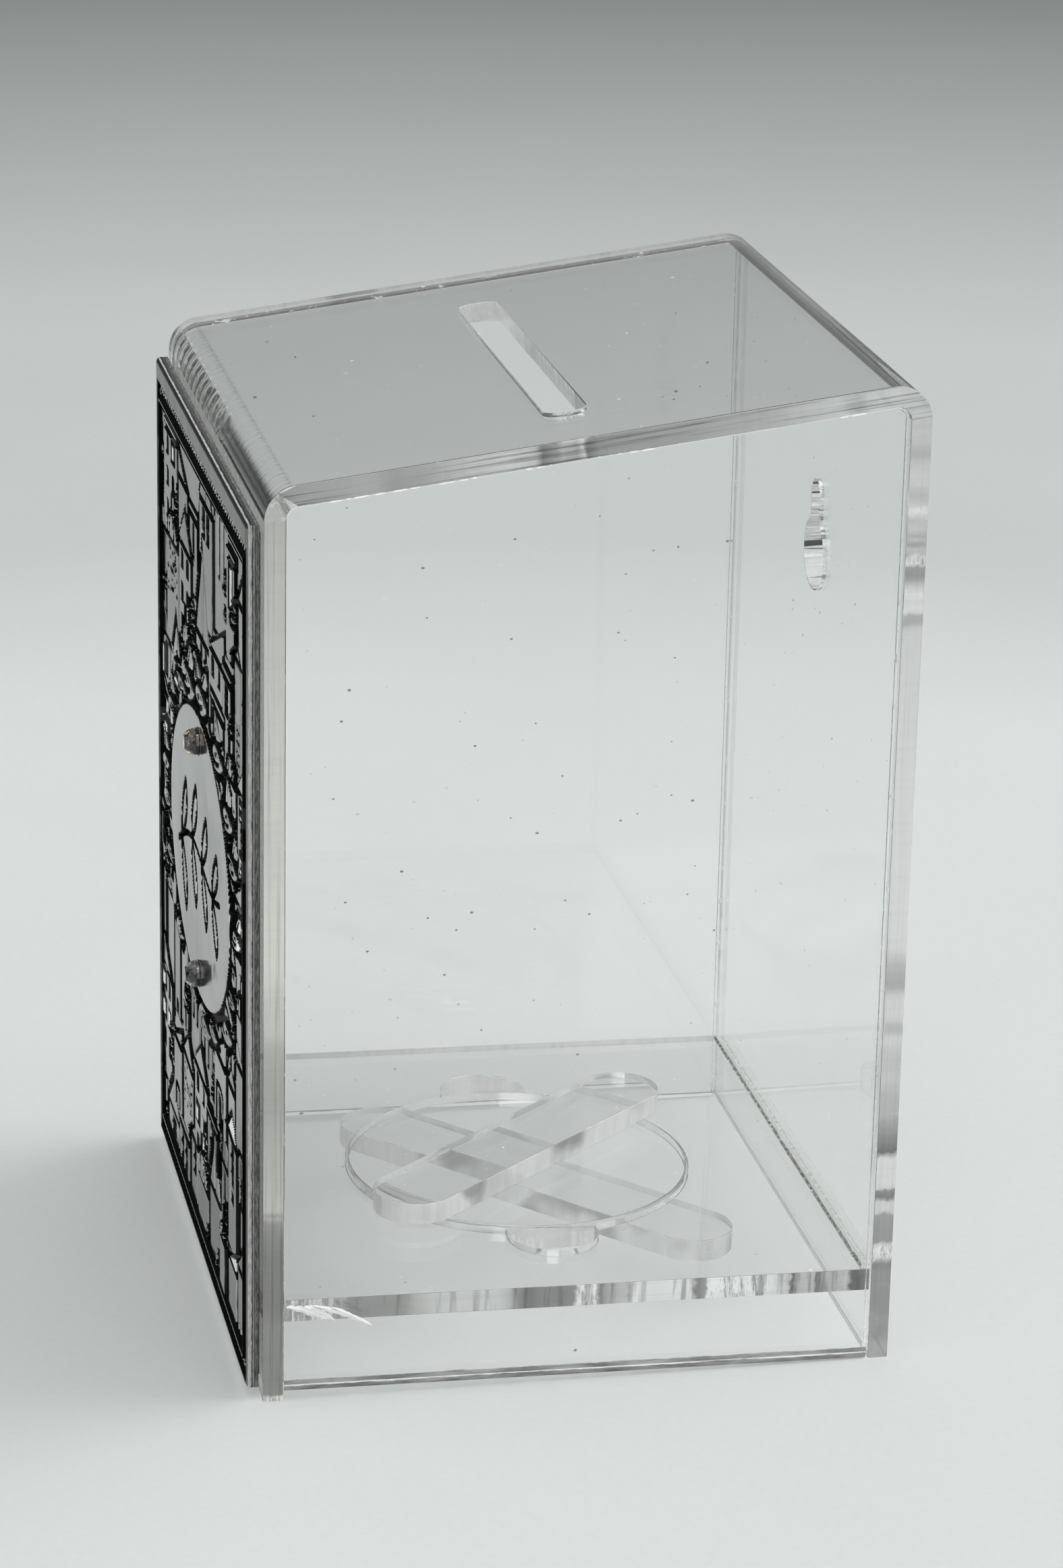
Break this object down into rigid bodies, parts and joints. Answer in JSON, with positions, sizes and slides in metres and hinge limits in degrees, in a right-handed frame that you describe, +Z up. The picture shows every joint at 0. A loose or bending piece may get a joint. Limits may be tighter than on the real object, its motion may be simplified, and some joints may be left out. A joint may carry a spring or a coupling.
{
  "type": "donation box",
  "caption": "Clear acrylic donation box with a sloped top, coin slot, keyhole for wall hanging, twist-lock floor closure and a raised silver townscape plaque on its front.",
  "frame": {"origin": "centre of the bounding box at the bottom, on the surface that the box stands on", "axes": "+Z up, -Y towards the plaque on the front, +Y towards the wall with the keyhole, X along the coin slot"},
  "size_m": [0.108, 0.1048, 0.1582],
  "materials": {
    "acrylic_shell": "clear cast acrylic, polished, with sawn edges",
    "acrylic_sides": "clear cast acrylic, polished",
    "acrylic_floor": "clear cast acrylic, polished",
    "acrylic_closure": "clear cast acrylic, polished",
    "tape": "soft double-sided tape",
    "backing": "satin grey sheet",
    "silver_relief": "polished silver relief with a black patina in the recesses",
    "crystal": "faceted clear crystal"
  },
  "bodies": {
    "box": {"shell": "acrylic_shell", "side_panel_right": "acrylic_sides", "side_panel_left": "acrylic_sides", "base_plate": "acrylic_floor", "plaque_tape": "tape", "plaque_backing": "backing", "plaque_relief": "silver_relief", "upper_stud": "crystal", "lower_stud": "crystal"},
    "closure": {"closure_disc": "acrylic_closure", "closure_inner_bar": "acrylic_closure", "closure_handle_bar": "acrylic_closure"}
  },
  "joints": [
    {"name": "closure_turn", "type": "hinge", "parent": "box", "child": "closure", "pos_m": [0, 0.0028, 0.015], "axis": [0, 0.015, 0.9999], "continuous": true}
  ]
}
